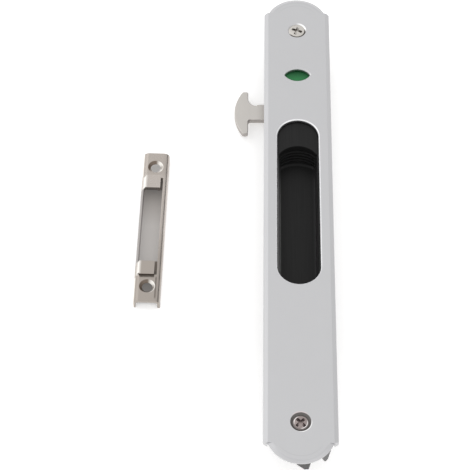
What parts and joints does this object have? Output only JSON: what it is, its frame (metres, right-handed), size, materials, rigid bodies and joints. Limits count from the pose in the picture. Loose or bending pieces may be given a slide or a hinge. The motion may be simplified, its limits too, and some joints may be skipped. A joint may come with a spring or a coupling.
{
  "type": "sliding patio door lock",
  "caption": "Long face-plate hook lock for a sliding door, worked by a sprung finger slide, with an indicator and a loose pressed keeper.",
  "frame": {"origin": "midway between the two fixing screws, on the plane where the face plate's legs seat on the door stile", "axes": "+Z out of the face, +Y along the face plate to its upper end, +X to the right with the hook pointing to -X"},
  "size_m": [0.0799, 0.225, 0.0186],
  "materials": {
    "anodised_aluminium": "satin anodised, fine sandblast",
    "bright_nickel": "nickel plated",
    "dull_nickel": "nickel plated, worn",
    "zinc_steel": "zinc plated sheet",
    "rivet_steel": "plain turned",
    "white_nylon": "moulded",
    "black_nylon": "fine moulded grain",
    "green_plastic": "gloss",
    "red_plastic": "gloss",
    "bronze": "turned",
    "spring_steel": "drawn wire",
    "dark_spring_steel": "blackened",
    "cast_hook": "tumbled, nickel plated",
    "keeper_steel": "bright nickel plated sheet",
    "rubber": "matte"
  },
  "bodies": {
    "lock": {"face_plate": "anodised_aluminium", "face_screw_top": "bright_nickel", "face_screw_bottom": "dull_nickel", "lock_case": "zinc_steel", "case_rivets": "rivet_steel", "guide_rail_left": "white_nylon", "guide_rail_right": "white_nylon", "pivot_pin": "rivet_steel", "pivot_washer": "bronze", "pivot_clip": "dark_spring_steel", "end_block": "white_nylon", "spring_rod": "rivet_steel", "rubber_bumper": "rubber", "return_spring": "spring_steel", "keeper": "keeper_steel"},
    "slide": {"slide_handle": "black_nylon", "indicator_green": "green_plastic", "indicator_red": "red_plastic", "drive_bar": "rivet_steel", "bar_screws": "bright_nickel", "drive_pin": "rivet_steel"},
    "hook_arm": {"hook": "cast_hook", "hook_bush": "bronze"}
  },
  "joints": [
    {"name": "slide_travel", "type": "slide", "parent": "lock", "child": "slide", "axis": [0, 1, 0], "range_m": [0, 0.012], "stiffness_N_per_m": 250, "springref_m": -0.006, "deforming": ["return_spring"]},
    {"name": "hook_swing", "type": "hinge", "parent": "lock", "child": "hook_arm", "pos_m": [0, 0.0607, -0.01185], "axis": [0, 0, 1], "range_deg": [0, 90]}
  ],
  "couplings": [
    {"joint": "hook_swing", "follows": "slide_travel", "rad_per_m": 130.9}
  ]
}
